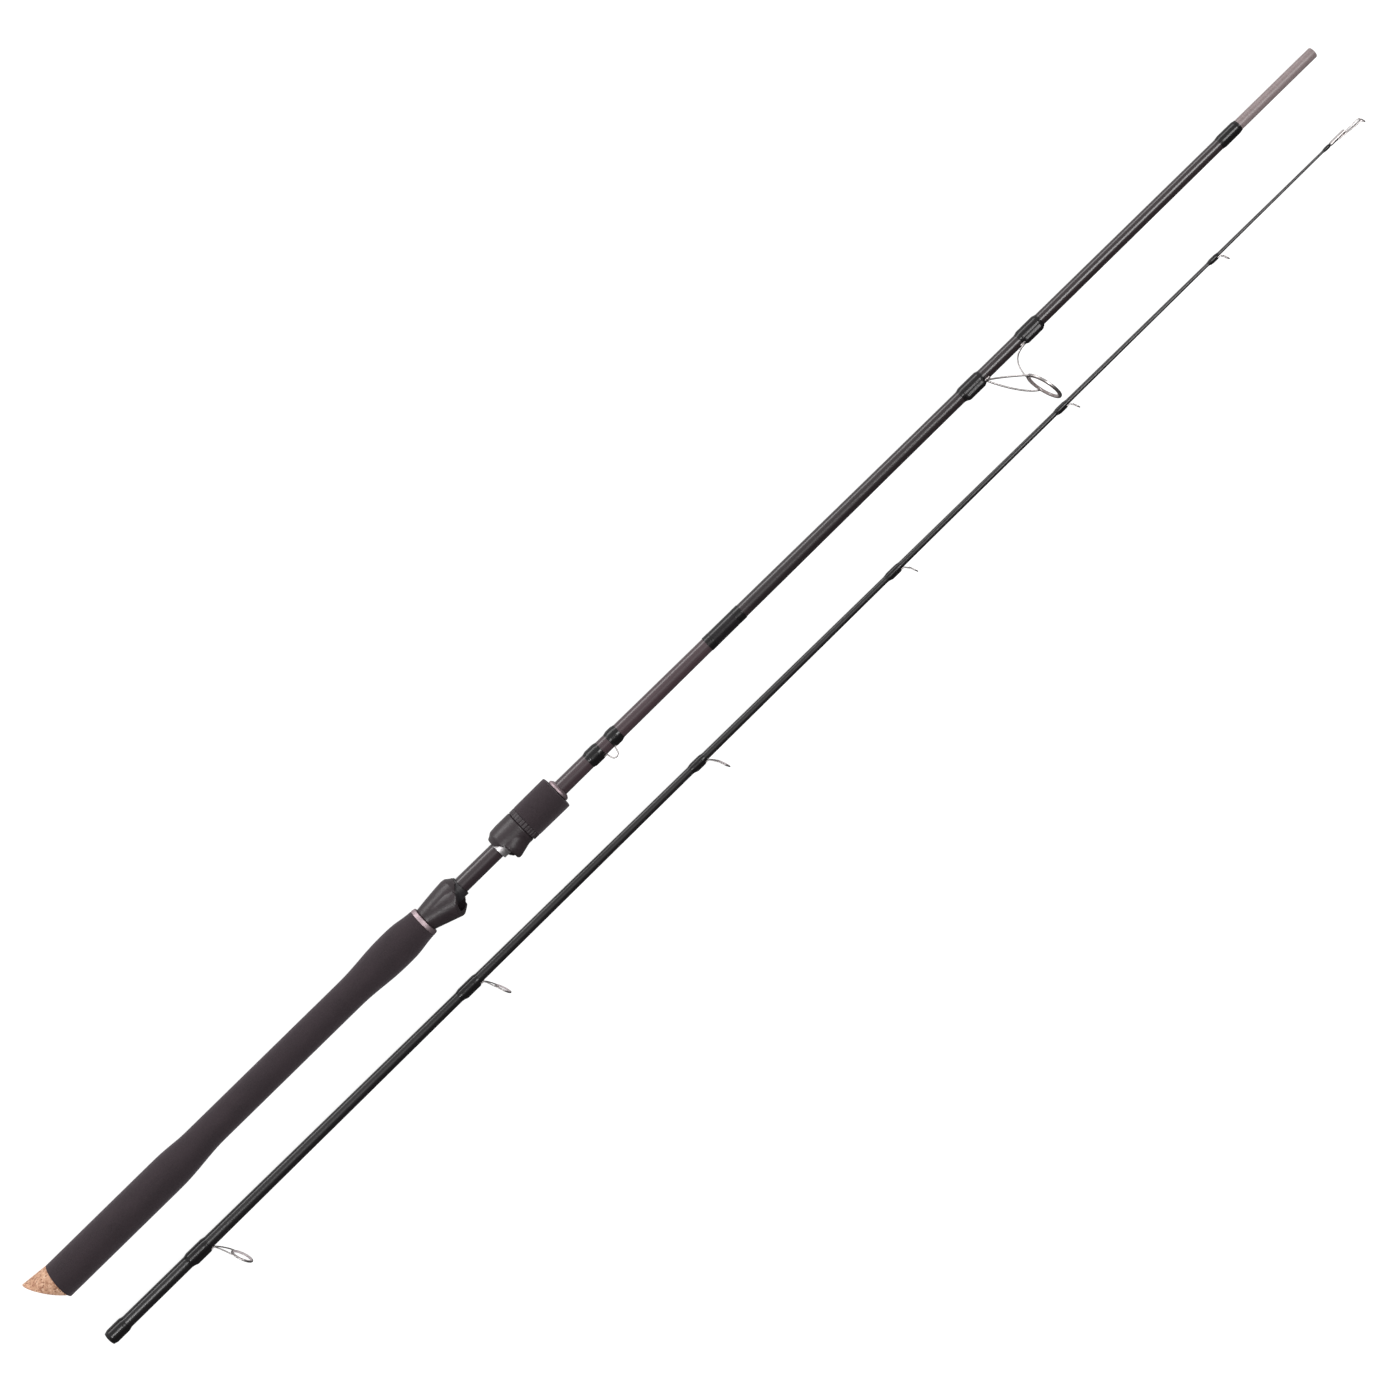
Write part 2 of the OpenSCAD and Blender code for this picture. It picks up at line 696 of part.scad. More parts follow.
butt_cap();
rear_grip();
rear_trim_ring();
butt_blank();
male_ferrule();
ferrule_wrap();
rear_hood();
rear_hood_saddle();
seat_barrel();
moving_hood();
moving_hood_saddle();
lock_nut();
foregrip();
winding_check();
keeper_loop();
keeper_wrap_rear();
keeper_wrap_front();
label_trim_rear();
label_panel();
label_trim_front();
stripper_frame();
stripper_ring();
stripper_wrap_rear();
stripper_wrap_front();
tip_blank();
socket_wrap();
tip_top_frame();
tip_top_ring();
tip_top_wrap();
for (i = [2:7]) {
    guide_frame(i);
    guide_ring(i);
    guide_wrap(i);
}
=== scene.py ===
"""Looks of a two-piece spinning rod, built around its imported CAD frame.

Each visible piece stands for one CAD node and takes its place and its radii from that node.
Lengths inside the helpers are in millimetres; Blender's own values are in metres.
"""
import json
import math

import bpy
import numpy as np
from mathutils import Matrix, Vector, noise
from mathutils.bvhtree import BVHTree

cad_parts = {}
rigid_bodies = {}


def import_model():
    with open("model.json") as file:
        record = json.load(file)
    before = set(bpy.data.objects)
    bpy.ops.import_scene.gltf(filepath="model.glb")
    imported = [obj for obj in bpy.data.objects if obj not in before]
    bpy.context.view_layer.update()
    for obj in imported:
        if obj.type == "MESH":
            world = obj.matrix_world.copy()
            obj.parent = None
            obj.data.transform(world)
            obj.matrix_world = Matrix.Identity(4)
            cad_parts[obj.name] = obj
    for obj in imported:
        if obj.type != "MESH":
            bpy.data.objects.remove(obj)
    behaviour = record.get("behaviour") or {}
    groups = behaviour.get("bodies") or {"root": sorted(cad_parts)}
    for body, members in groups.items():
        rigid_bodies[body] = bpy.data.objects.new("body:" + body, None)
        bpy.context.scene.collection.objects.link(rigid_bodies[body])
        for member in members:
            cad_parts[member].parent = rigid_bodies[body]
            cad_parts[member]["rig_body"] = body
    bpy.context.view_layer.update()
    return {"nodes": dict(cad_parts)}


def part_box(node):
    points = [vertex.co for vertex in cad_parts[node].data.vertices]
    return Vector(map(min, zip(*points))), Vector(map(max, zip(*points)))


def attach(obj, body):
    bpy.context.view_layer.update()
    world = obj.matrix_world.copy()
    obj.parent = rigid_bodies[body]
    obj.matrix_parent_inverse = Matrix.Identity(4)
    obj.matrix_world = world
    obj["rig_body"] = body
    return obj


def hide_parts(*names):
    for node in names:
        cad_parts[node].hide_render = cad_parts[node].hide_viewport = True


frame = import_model()

MM = 0.001
NODES = frame["nodes"]


# ---- the two sections' axes ----


class Axis:
    """A section's centre line. along runs to the tip, out level to the guides' side, up off the
    floor."""

    def __init__(self, rear, front):
        self.rear = rear
        self.along = (front - rear).normalized()
        self.up = Vector((0, -1, 0)).cross(self.along).normalized()
        self.out = self.along.cross(self.up)

    def point(self, x, radius, angle):
        """The point at x mm along and radius mm out; angle 0 is level, on the guides' side."""
        side = self.out * math.cos(angle) + self.up * math.sin(angle)
        return self.rear + (self.along * x + side * radius) * MM

    def measure(self, points):
        """Arrays of place along, distance off the axis and angle, for an array of points."""
        local = (points - np.array(self.rear)) / MM
        x, out, up = (local @ np.array(d) for d in (self.along, self.out, self.up))
        return x, np.hypot(out, up), np.arctan2(up, out)


def middle(node, end=None):
    """The centre of a node's box, or of its face at the low (0) or high (1) end in X."""
    low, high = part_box(node)
    centre = (low + high) / 2
    if end is not None:
        centre.x = (low, high)[end].x
    return centre


def vertices(node):
    """A node's points, in metres of the row frame."""
    mesh = NODES[node].data
    points = np.zeros(len(mesh.vertices) * 3, np.float32)
    mesh.vertices.foreach_get("co", points)
    return points.reshape(-1, 3).astype(float)


def box_centre(points):
    return (points.min(0) + points.max(0)) / 2


def disc_centre(node, end):
    """The centre of a turned node's disc at its low (0) or high (1) end in X."""
    near = 0.3 * MM
    points = vertices(node)
    place = points[:, 0].max() if end else points[:, 0].min()
    return Vector(box_centre(points[abs(points[:, 0] - place) < near]))


BUTT = Axis(middle("butt_blank", 0), middle("male_ferrule", 1))
TIP = Axis(disc_centre("socket_wrap", 0), disc_centre("tip_top_wrap", 1))


def axis_of(node):
    return TIP if NODES[node]["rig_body"] == "tip_section" else BUTT


def span(node):
    """First and last place of a node along its section's axis."""
    x = axis_of(node).measure(vertices(node))[0]
    return x.min(), x.max()


# ---- mesh helpers ----


def add_object(name, points, faces, sharp_angle=35):
    mesh = bpy.data.meshes.new(name)
    mesh.from_pydata(points, [], faces)
    mesh.validate()
    obj = bpy.data.objects.new(name, mesh)
    bpy.context.scene.collection.objects.link(obj)
    return shaded(obj, sharp_angle)


def shaded(obj, sharp_angle=35):
    obj.data.shade_smooth()
    obj.data.set_sharp_from_angle(angle=math.radians(sharp_angle))
    return obj


def through_rings(name, rings, loop=False, sharp_angle=35):
    """A surface through rings of equal size. loop joins the last ring to the first; otherwise
    both ends are closed with a face."""
    size = len(rings[0])
    points = [p for ring in rings for p in ring]
    faces = []
    for i in range(len(rings) if loop else len(rings) - 1):
        a, b = i * size, (i + 1) % len(rings) * size
        faces += [(a + k, b + k, b + (k + 1) % size, a + (k + 1) % size) for k in range(size)]
    if not loop:
        last = (len(rings) - 1) * size
        faces += [tuple(range(size)), tuple(range(last + size - 1, last - 1, -1))]
    return add_object(name, points, faces, sharp_angle)


def angles(segments):
    """Equal steps round a full turn."""
    return [2 * math.pi * k / segments for k in range(segments)]


def turned(name, axis, outline, segments=96, loop=True):
    """A solid of revolution from [place, radius] points that run clockwise round its section."""
    rings = [[axis.point(x, r, a) for a in angles(segments)] for x, r in outline]
    return through_rings(name, rings, loop)


def softened(outline, cut, steps=4):
    """A closed outline with its corners rounded, cut mm back along each edge."""
    largest_share, shortest = 0.45, 1e-9
    result = []
    for i, corner in enumerate(outline):
        p = np.array(corner, float)
        ends = []
        for other in (outline[i - 1], outline[(i + 1) % len(outline)]):
            edge = np.array(other, float) - p
            length = max(np.linalg.norm(edge), shortest)
            ends.append(p + edge * min(cut / length, largest_share))
        for t in np.linspace(0, 1, steps + 1):
            q = ends[0] * (1 - t) ** 2 + p * 2 * t * (1 - t) + ends[1] * t * t
            result.append((q[0], q[1]))
    return result


def dense(outline, step=25):
    """outline with points added so that no stretch is longer than step."""
    result = [outline[0]]
    for (xa, ra), (xb, rb) in zip(outline, outline[1:]):
        count = max(1, math.ceil((xb - xa) / step))
        for i in range(1, count + 1):
            result.append((xa + (xb - xa) * i / count, ra + (rb - ra) * i / count))
    return result


def smooth_step(value, low, high):
    """0 below low, 1 above high and an even curve between them."""
    t = min(1.0, max(0.0, (value - low) / (high - low)))
    return t * t * (3 - 2 * t)


def profiles(node):
    """Outer and inner outlines of a turned node, as [place, radius] points in order of place.
    A corner counts for the side that the faces round it look to."""
    least_lean = 0.3
    axis = axis_of(node)
    x, r, _ = axis.measure(vertices(node))
    sides = {1: {}, -1: {}}
    for face in NODES[node].data.polygons:
        away = face.center - axis.rear
        away -= axis.along * away.dot(axis.along)
        lean = face.normal.dot(away.normalized())
        if abs(lean) > least_lean:
            side = sides[1 if lean > 0 else -1]
            for k in face.vertices:
                side.setdefault(round(x[k], 1), []).append(r[k])
    outer = [(p, max(radii)) for p, radii in sorted(sides[1].items())]
    inner = [(p, min(radii)) for p, radii in sorted(sides[-1].items())]
    return outer, inner


def surface_radii(node, places, segments):
    """Rows of outer radii, one per place, read off the CAD node by rays towards the axis. A ray
    that meets nothing takes its row's median."""
    axis = axis_of(node)
    mesh = NODES[node].data
    tree = BVHTree.FromPolygons([v.co for v in mesh.vertices], [p.vertices for p in mesh.polygons])
    reach = 60
    rows = []
    for x in places:
        row = []
        for a in angles(segments):
            centre, start = axis.point(x, 0, a), axis.point(x, reach, a)
            hit = tree.ray_cast(start, (centre - start).normalized(), reach * MM)
            row.append(reach - hit[3] / MM if hit[0] else np.nan)
        rows.append(row)
    rows = np.array(rows)
    return np.where(np.isnan(rows), np.nanmedian(rows, axis=1, keepdims=True), rows)


def smoothed(rows, degrees, places):
    """Rows of radii with ripples finer than a turn of degrees, or than places rows, taken out."""
    segments = rows.shape[1]
    order = np.fft.rfftfreq(segments, 1 / segments)
    keep = np.exp(-0.5 * (order * math.radians(degrees)) ** 2)
    rows = np.fft.irfft(np.fft.rfft(rows, axis=1) * keep, segments, axis=1)
    reach = int(3 * places)
    kernel = np.exp(-0.5 * (np.arange(-reach, reach + 1) / places) ** 2)
    kernel /= kernel.sum()
    padded = np.pad(rows, ((reach, reach), (0, 0)), mode="edge")
    return np.array([kernel @ padded[i:i + 2 * reach + 1] for i in range(len(rows))])


def refined(node, voxel, rounds):
    """A copy of a CAD node remeshed in voxel mm steps, its facets and edges softened in rounds."""
    obj = bpy.data.objects.new(node + "_piece", NODES[node].data.copy())
    bpy.context.scene.collection.objects.link(obj)
    remesh = obj.modifiers.new("Remesh", "REMESH")
    remesh.mode = "VOXEL"
    remesh.voxel_size = voxel * MM
    smooth = obj.modifiers.new("Smooth", "SMOOTH")
    smooth.factor = 0.5
    smooth.iterations = rounds
    graph = bpy.context.evaluated_depsgraph_get()
    mesh = bpy.data.meshes.new_from_object(obj.evaluated_get(graph))
    obj.modifiers.clear()
    obj.data = mesh
    return shaded(obj, 50)


def stands_for(obj, node, material):
    """obj takes the place of a CAD node on its body, wearing the given material; the node is hidden.
    """
    obj.data.materials.clear()
    obj.data.materials.append(material)
    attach(obj, NODES[node]["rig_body"])
    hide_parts(node)


# ---- material helpers ----


class Finish:
    """A material under construction. Textures are laid out in millimetres of the row frame."""

    def __init__(self, name, **sockets):
        self.material = bpy.data.materials.new(name)
        self.material.use_nodes = True
        self.tree = self.material.node_tree
        self.shader = self.tree.nodes["Principled BSDF"]
        for socket, value in sockets.items():
            self.shader.inputs[socket.replace("_", " ")].default_value = value
        self.coords = self.tree.nodes.new("ShaderNodeTexCoord").outputs["Object"]

    def node(self, kind, **settings):
        made = self.tree.nodes.new("ShaderNode" + kind)
        for key, value in settings.items():
            setattr(made, key, value)
        return made

    def link(self, source, target):
        self.tree.links.new(source, target)

    def place(self, stretch=(1, 1, 1)):
        """Coordinates in millimetres, stretched per axis."""
        mapping = self.node("Mapping")
        mapping.inputs["Scale"].default_value = [s / MM for s in stretch]
        self.link(self.coords, mapping.inputs["Vector"])
        return mapping.outputs["Vector"]

    def noise(self, scale, detail=3, stretch=(1, 1, 1)):
        texture = self.node("TexNoise")
        texture.inputs["Scale"].default_value = scale
        texture.inputs["Detail"].default_value = detail
        self.link(self.place(stretch), texture.inputs["Vector"])
        return texture.outputs["Fac"]

    def cells(self, scale, output="Distance", feature="F1"):
        texture = self.node("TexVoronoi", feature=feature)
        texture.inputs["Scale"].default_value = scale
        self.link(self.place(), texture.inputs["Vector"])
        return texture.outputs[output]

    def ramp(self, factor, *stops):
        """A colour ramp through (position, colour) stops."""
        made = self.node("ValToRGB")
        elements = made.color_ramp.elements
        while len(elements) < len(stops):
            elements.new(0.5)
        for element, (position, colour) in zip(elements, stops):
            element.position = position
            element.color = (*colour, 1)
        self.link(factor, made.inputs["Fac"])
        return made.outputs["Color"]

    def levels(self, factor, low, high, start=0.0, end=1.0):
        """factor mapped from low-high to start-end, clamped."""
        made = self.node("MapRange")
        for name, value in zip(("From Min", "From Max", "To Min", "To Max"), (low, high, start, end)):
            made.inputs[name].default_value = value
        self.link(factor, made.inputs["Value"])
        return made.outputs["Result"]

    def mixed(self, factor, a, b, mode="MIX"):
        """a and b mixed; each value may be a socket or a plain one."""
        made = self.node("Mix", data_type="RGBA", blend_type=mode)
        for socket, value in ((made.inputs[0], factor), (made.inputs[6], a), (made.inputs[7], b)):
            if isinstance(value, bpy.types.NodeSocket):
                self.link(value, socket)
            else:
                socket.default_value = value
        return made.outputs[2]

    def colour(self, source):
        self.link(source, self.shader.inputs["Base Color"])

    def roughness(self, source, low, high):
        """Roughness from low to high, as source goes over its middle half."""
        self.link(self.levels(source, 0.25, 0.75, low, high), self.shader.inputs["Roughness"])

    def bump(self, height, depth, before=None):
        """Adds relief depth mm deep, over an earlier one if given."""
        made = self.node("Bump")
        made.inputs["Distance"].default_value = depth * MM
        self.link(height, made.inputs["Height"])
        if before:
            self.link(before, made.inputs["Normal"])
        self.link(made.outputs["Normal"], self.shader.inputs["Normal"])
        return made.outputs["Normal"]

    def rings(self, pitch, wobble=0.0):
        """A wave along X with one crest per pitch mm, for threads and turning marks."""
        wave = self.node("TexWave", wave_type="BANDS", bands_direction="X")
        wave.inputs["Scale"].default_value = math.pi / (10 * pitch)
        wave.inputs["Distortion"].default_value = wobble
        wave.inputs["Detail Scale"].default_value = 1.5
        self.link(self.place(), wave.inputs["Vector"])
        return wave.outputs["Fac"]

    def along(self, start, end):
        """0 to 1 from row-frame X start to end, in mm."""
        split = self.node("SeparateXYZ")
        self.link(self.place(), split.inputs["Vector"])
        return self.levels(split.outputs["X"], start, end)


# ---- materials ----


def cork():
    m = Finish("cork", Roughness=0.85, Specular_IOR_Level=0.25)
    grain = m.cells(0.8, "Color")
    split = m.node("SeparateColor")
    m.link(grain, split.inputs["Color"])
    tan = m.ramp(split.outputs["Red"],
                 (0, (0.26, 0.12, 0.075)),
                 (0.18, (0.42, 0.215, 0.135)),
                 (0.45, (0.54, 0.31, 0.2)),
                 (0.8, (0.62, 0.38, 0.26)),
                 (1, (0.72, 0.49, 0.34)))
    flecks = m.levels(m.noise(2.4, 4), 0.62, 0.7)
    m.colour(m.mixed(flecks, tan, (0.2, 0.1, 0.065, 1)))
    edges = m.levels(m.cells(0.8, "Distance", "DISTANCE_TO_EDGE"), 0, 0.12)
    first = m.bump(edges, 0.12)
    m.bump(m.noise(3.0, 4), 0.18, first)
    return m.material


def foam():
    m = Finish("foam", Roughness=0.9, Specular_IOR_Level=0.3, Sheen_Weight=0.12,
               Sheen_Roughness=0.5, Sheen_Tint=(0.8, 0.7, 0.78, 1))
    mottle = m.noise(0.09, 4, (0.6, 1, 1))
    base = m.ramp(mottle, (0.3, (0.0205, 0.0142, 0.017)), (0.7, (0.029, 0.0196, 0.0235)))
    speck = m.levels(m.noise(1.9, 2), 0.35, 0.7)
    m.colour(m.mixed(speck, base, (0.035, 0.025, 0.0295, 1)))
    m.roughness(m.noise(1.2, 2), 0.82, 0.97)
    cells = m.bump(m.cells(2.2), 0.07)
    m.bump(m.noise(0.35, 3), 0.12, cells)
    return m.material


def trim_metal():
    m = Finish("trim_metal", Metallic=1.0)
    marks = m.noise(0.8, 3, (4, 0.3, 0.3))
    m.colour(m.ramp(marks, (0.3, (0.4, 0.31, 0.335)), (0.7, (0.5, 0.4, 0.425))))
    m.roughness(m.noise(2, 2, (3, 0.4, 0.4)), 0.5, 0.62)
    m.bump(m.noise(5, 2, (2, 0.05, 0.05)), 0.015)
    return m.material


def clear_coated(name, shades, start, end, coat):
    """A tubular blank: long dark fibres under a clear coat, its tone easing from start to end; on the
    tip blank the easing is a painted highlight that lightens it towards its thin end.
    """
    m = Finish(name, Specular_IOR_Level=0.35, Coat_Weight=coat, Coat_Roughness=0.16)
    tone = m.ramp(m.along(start, end), *shades)
    shadow = m.mixed(1.0, tone, (0.62, 0.6, 0.62, 1), "MULTIPLY")
    fibres = m.levels(m.noise(1.1, 3, (0.02, 1.6, 1.6)), 0.3, 0.7)
    m.colour(m.mixed(fibres, tone, shadow))
    m.roughness(m.noise(0.5, 2, (0.1, 1, 1)), 0.38, 0.5)
    m.bump(m.noise(0.6, 2, (0.03, 1, 1)), 0.012)
    return m.material


def ground_ferrule():
    m = Finish("ground_ferrule", Specular_IOR_Level=0.6)
    marks = m.noise(2.2, 3, (1, 0.08, 0.08))
    m.colour(m.ramp(marks, (0.3, (0.17, 0.13, 0.13)), (0.7, (0.25, 0.195, 0.195))))
    m.roughness(marks, 0.34, 0.5)
    scratches = m.bump(marks, 0.02)
    m.bump(m.rings(0.35, 1.5), 0.008, scratches)
    return m.material


def moulded(name, dark, light, rough=(0.38, 0.52)):
    """Satin moulded plastic with a fine spark-eroded grain."""
    m = Finish(name, Specular_IOR_Level=0.5)
    m.colour(m.ramp(m.noise(0.25, 4), (0.3, dark), (0.7, light)))
    m.roughness(m.noise(0.9, 3), *rough)
    grain = m.bump(m.noise(4, 2), 0.03)
    m.bump(m.noise(0.2, 2), 0.05, grain)
    return m.material


def brushed_steel():
    m = Finish("brushed_steel", Metallic=1.0)
    lines = m.noise(3, 3, (1, 0.08, 0.08))
    m.colour(m.ramp(lines, (0.3, (0.8, 0.77, 0.78)), (0.7, (0.92, 0.89, 0.9))))
    m.roughness(lines, 0.36, 0.5)
    m.bump(lines, 0.012)
    return m.material


def polished_steel():
    m = Finish("polished_steel", Metallic=1.0)
    m.colour(m.ramp(m.noise(0.5, 3), (0.3, (0.4, 0.37, 0.365)), (0.7, (0.52, 0.485, 0.48))))
    m.roughness(m.noise(1.5, 3), 0.3, 0.42)
    m.bump(m.noise(3, 2), 0.01)
    return m.material


def ceramic():
    m = Finish("ceramic", Specular_IOR_Level=0.7, Coat_Weight=0.6, Coat_Roughness=0.05)
    m.colour(m.ramp(m.noise(0.7, 2), (0.3, (0.2, 0.165, 0.16)), (0.7, (0.28, 0.23, 0.225))))
    m.roughness(m.noise(2, 2), 0.12, 0.2)
    m.bump(m.noise(0.8, 2), 0.01)
    return m.material


def varnished_thread():
    m = Finish("varnished_thread", Specular_IOR_Level=0.25, Coat_Weight=0.42, Coat_Roughness=0.05)
    turns = m.rings(0.25, 0.4)
    m.colour(m.ramp(turns, (0.0, (0.003, 0.0025, 0.003)), (1, (0.008, 0.0068, 0.0075))))
    m.roughness(m.noise(1, 2), 0.3, 0.42)
    varnish = m.bump(m.noise(0.35, 2), 0.05)
    m.bump(turns, 0.012, varnish)
    return m.material


def label_panel():
    m = Finish("label_panel", Specular_IOR_Level=0.25, Coat_Weight=0.4, Coat_Roughness=0.1)
    fibres = m.noise(1.2, 3, (0.05, 1.6, 1.6))
    m.colour(m.ramp(fibres, (0.3, (0.006, 0.005, 0.006)), (0.7, (0.015, 0.0125, 0.0145))))
    m.roughness(m.noise(0.6, 2), 0.25, 0.4)
    m.bump(m.noise(0.4, 2), 0.02)
    return m.material


def white_floor():
    """White by its own light for the most part, so that the rod's shadow on it stays faint."""
    m = Finish("floor", Roughness=0.9, Specular_IOR_Level=0.1, Emission_Color=(1, 1, 1, 1),
               Emission_Strength=0.82)
    m.colour(m.ramp(m.noise(0.004, 2), (0.3, (0.34, 0.34, 0.34)), (0.7, (0.36, 0.36, 0.36))))
    return m.material


# ---- grips and cap ----


def make_cap(material):
    """Cork with small pits in its surface."""
    pit_size, pit_depth, pit_level = 1.1, 0.35, 0.25
    obj = refined("butt_cap", 0.3, 4)
    for vertex in obj.data.vertices:
        pit = noise.fractal(vertex.co / (pit_size * MM), 1, 2, 3)
        vertex.co -= vertex.normal * max(0.0, pit - pit_level) * pit_depth * MM
    stands_for(obj, "butt_cap", material)


def make_rear_grip(material):
    """A loft through rings that start on the cap's slanted face and even out along the grip."""
    segments, step, bore = 96, 1.5, 6.35
    face_length, face_radius = 4, 12
    face_gap, end_gap, edge = 2.8, 0.7, 0.6
    start, end = span("rear_grip")
    x, r, angle = BUTT.measure(vertices("rear_grip"))
    face = (x < start + face_length) & (r > face_radius)
    slope, offset = np.polyfit(r[face] * np.cos(angle[face]), x[face], 1)
    places = np.linspace(start + face_gap, end - end_gap, int((end - start) / step))
    radii = smoothed(surface_radii("rear_grip", places, segments), 14, 2.5)
    turn = np.array(angles(segments))
    outline = []
    for row, place in zip(radii, places):
        share = 1 - (place - places[0]) / (places[-1] - places[0])
        first = offset + slope * row * np.cos(turn)
        outline.append((place + (first - places[0]) * share ** 12, row))
    last_x, last_row = outline[-1]
    closing = [(last_x + (end - places[-1]) * math.sin(t), last_row - edge * (1 - math.cos(t)))
               for t in np.linspace(0, math.pi / 2, 5)[1:]]
    first_x, first_row = outline[0]
    hole = np.full(segments, bore)
    opening = [(first_x - slope * (first_row - bore) * np.cos(turn), hole)]
    front_hole = [(np.full(segments, end), hole)]
    rings = [[BUTT.point(px, pr, a) for px, pr, a in zip(np.broadcast_to(xs, segments), rs, turn)]
             for xs, rs in opening + outline + closing + front_hole]
    stands_for(through_rings("rear_grip_piece", rings, loop=True), "rear_grip", material)


def make_sleeve(node, material, cut):
    """A turned sleeve with its edges softened, cut mm back."""
    outer, inner = profiles(node)
    outline = softened(outer + [inner[-1], inner[0]], cut)
    stands_for(turned(node + "_piece", axis_of(node), outline), node, material)


# ---- reel seat ----


def make_hood(node, material):
    stands_for(refined(node, 0.32, 14), node, material)


def make_barrel(material):
    """The threaded sleeve: one helical thread, cut through by the keyway opposite the guides."""
    pitch, depth, segments, step = 2.0, 0.6, 120, 0.2
    flank_slope, root_share = 2.6, 0.25
    rear_run, front_run = 3, 1.5
    key_half, key_floor = 1.3, 7.2
    start, end = span("seat_barrel")
    radii = BUTT.measure(vertices("seat_barrel"))[1]
    crest, inner = radii.max(), radii.min()
    guide = Vector(box_centre(vertices("stripper_ring"))) - BUTT.rear
    key = math.atan2(guide.dot(BUTT.up), guide.dot(BUTT.out)) + math.pi
    rings = []
    for place in np.linspace(start, end, int((end - start) / step)):
        ramp_in = min(1, (place - start) / rear_run, (end - place) / front_run)
        ring = []
        for a in angles(segments):
            phase = (place / pitch - a / (2 * math.pi)) % 1
            flank = min(1, max(0, flank_slope * (0.5 - abs(phase - 0.5)) - root_share))
            radius = crest - depth + depth * flank * ramp_in
            off_key = a - key
            if math.cos(off_key) > 0 and abs(math.sin(off_key)) * crest < key_half:
                radius = key_floor / math.cos(off_key)
            ring.append(BUTT.point(place, radius, a))
        rings.append(ring)
    bore = [[BUTT.point(place, inner, a) for a in angles(segments)] for place in (end, start)]
    stands_for(through_rings("seat_barrel_piece", rings + bore, loop=True), "seat_barrel", material)


def make_nut(material):
    """The ribbed nut with its collar and the sleeve inside the foregrip."""
    ribs, per_rib, rib_depth = 28, 10, 0.55
    neck, collar = 9.4, 10.2
    rear_edge, front_edge, edge_drop = 0.5, 0.4, 0.6
    x, r, _ = BUTT.measure(vertices("lock_nut"))
    start, end, widest, inner = x.min(), x.max(), r.max(), r.min()
    rim = x[r > widest - 0.2]
    rim_start, rim_end = rim.min() - rear_edge, rim.max() + front_edge
    sleeve = r[x > end - 0.1].max()
    collar_end = x[(r > collar - 0.05) & (x < rim_start - 1)].max()
    outline = [(start, collar), (collar_end, collar),
               (collar_end, neck), (rim_start, neck),
               (rim_start, widest - edge_drop), (rim_start + rear_edge, widest),
               (rim_end - front_edge, widest), (rim_end, widest - front_edge),
               (rim_end, sleeve), (end, sleeve),
               (end, inner), (start, inner)]
    rings = []
    for place, radius in softened(outline, 0.2):
        on_rim = radius > widest - 0.9
        ring = []
        for k, a in enumerate(angles(ribs * per_rib)):
            across = abs((k % per_rib) / per_rib - 0.5) * 2
            cut = rib_depth * smooth_step(across, 0.62, 0.95) if on_rim else 0
            ring.append(BUTT.point(place, radius - cut, a))
        rings.append(ring)
    obj = through_rings("lock_nut_piece", rings, loop=True, sharp_angle=60)
    stands_for(obj, "lock_nut", material)


# ---- blanks and ferrules ----

NEAR_AXIS = 0.05  # radius at which a closed end stops short of the axis


def make_butt_blank(material):
    outer, inner = profiles("butt_blank")
    outline = dense(outer) + inner[::-1]
    stands_for(turned("butt_blank_piece", BUTT, outline, 64), "butt_blank", material)


def make_tip_blank(material):
    """The open socket shows at the rear, so its bore is made to its full depth."""
    bore_edge, rim_edge, end_edge = 0.3, 0.25, 0.3
    x, r, _ = TIP.measure(vertices("tip_blank"))
    outer, inner = profiles("tip_blank")
    bore_x, bore_r = inner[0]
    rear_x, rear_r = outer[0]
    end_x, end_r = outer[-1]
    depth = x[abs(r - bore_r) < 0.02].max()
    outline = [(depth, NEAR_AXIS), (depth, bore_r), (bore_x + bore_edge, bore_r),
               (bore_x, bore_r + bore_edge)]
    outline += [(rear_x, rear_r - rim_edge), (rear_x + rim_edge, rear_r)]
    outline += dense(outer)[1:-1]
    outline += [(end_x - end_edge, end_r), (end_x, end_r - end_edge), (end_x, NEAR_AXIS)]
    stands_for(turned("tip_blank_piece", TIP, outline, 64, loop=False), "tip_blank", material)


def make_male_ferrule(material):
    """The ground pin with its domed end, and the spigot that is glued into the blank."""
    outer, _ = profiles("male_ferrule")
    start, end = span("male_ferrule")
    pin = max(r for _, r in outer)
    spigot = outer[0][1]
    blank_end = span("butt_blank")[1]
    outline = [(start, NEAR_AXIS), (start, spigot), (blank_end, spigot), (blank_end, pin)]
    outline += [(p, pin) for p in np.linspace(blank_end + 6, end - 0.9, 12)]
    outline += [(end - back, pin - drop) for back, drop in ((0.5, 0.12), (0.15, 0.4), (0, 0.8))]
    outline.append((end, NEAR_AXIS))
    obj = turned("male_ferrule_piece", BUTT, outline, 96, loop=False)
    stands_for(obj, "male_ferrule", material)


